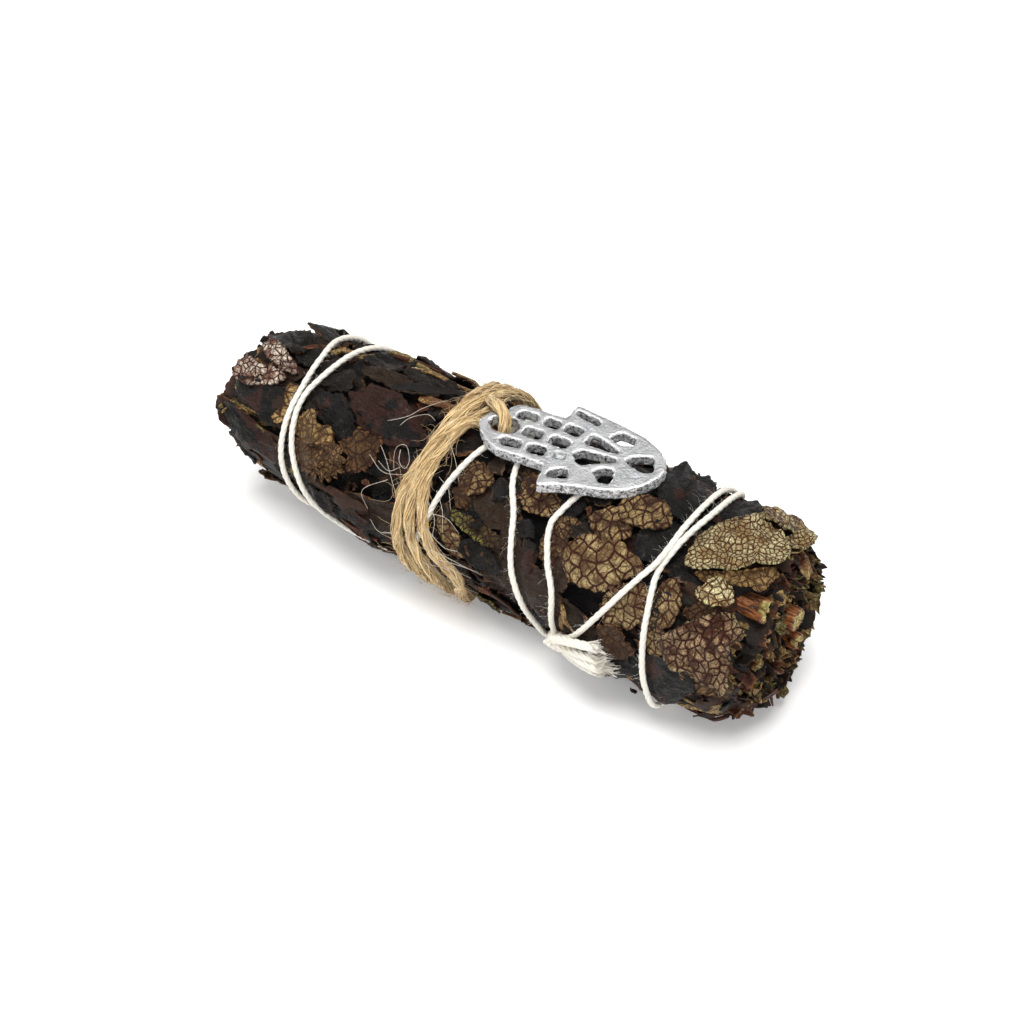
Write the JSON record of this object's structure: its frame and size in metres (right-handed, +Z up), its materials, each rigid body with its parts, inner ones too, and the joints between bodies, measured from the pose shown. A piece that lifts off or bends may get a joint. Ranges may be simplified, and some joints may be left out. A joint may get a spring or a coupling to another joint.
{
  "type": "smudge stick",
  "caption": "Small bundle of dark dried leaves, rolled tight and chopped at one end, wound with white thread and with jute twine that holds a flat cast metal hand charm.",
  "frame": {"origin": "on the flat spot that the stick rests on, under the middle of its length", "axes": "+X along the stick to the chopped end, +Z up, -Y the side with the thread's knot"},
  "size_m": [0.105, 0.0356, 0.0389],
  "materials": {
    "leaf_dark": "dry dark leaf, satin in places",
    "leaf_underside": "pale leaf underside with a raised net of veins",
    "stem": "cut dry stem with pale pith",
    "cotton": "twisted cotton thread, slightly fuzzy",
    "jute": "twisted jute fibres",
    "cast_metal": "rough cast, satin"
  },
  "bodies": {
    "root": {"leaf_pack": "leaf_dark", "leaf_small_pale": "leaf_underside", "leaf_curled": "leaf_underside", "leaf_olive": "leaf_underside", "leaf_rim": "leaf_underside", "leaf_behind_thread": "leaf_underside", "leaf_net_a": "leaf_underside", "leaf_net_b": "leaf_underside", "leaf_wide_net": "leaf_underside", "leaf_low_net": "leaf_underside", "leaf_mid_net": "leaf_underside", "leaf_upper_net": "leaf_underside", "leaf_olive_fold": "leaf_underside", "leaf_left_net": "leaf_underside", "leaf_pink_a": "leaf_underside", "leaf_pink_b": "leaf_underside", "leaf_tan": "leaf_underside", "leaf_toothed": "leaf_underside", "leaf_brown_lobe": "leaf_underside", "stem_1": "stem", "stem_2": "stem", "stem_3": "stem", "stem_4": "stem", "stem_5": "stem", "cotton_thread": "cotton", "jute_twine": "jute", "hamsa_charm": "cast_metal"}
  },
  "joints": []
}
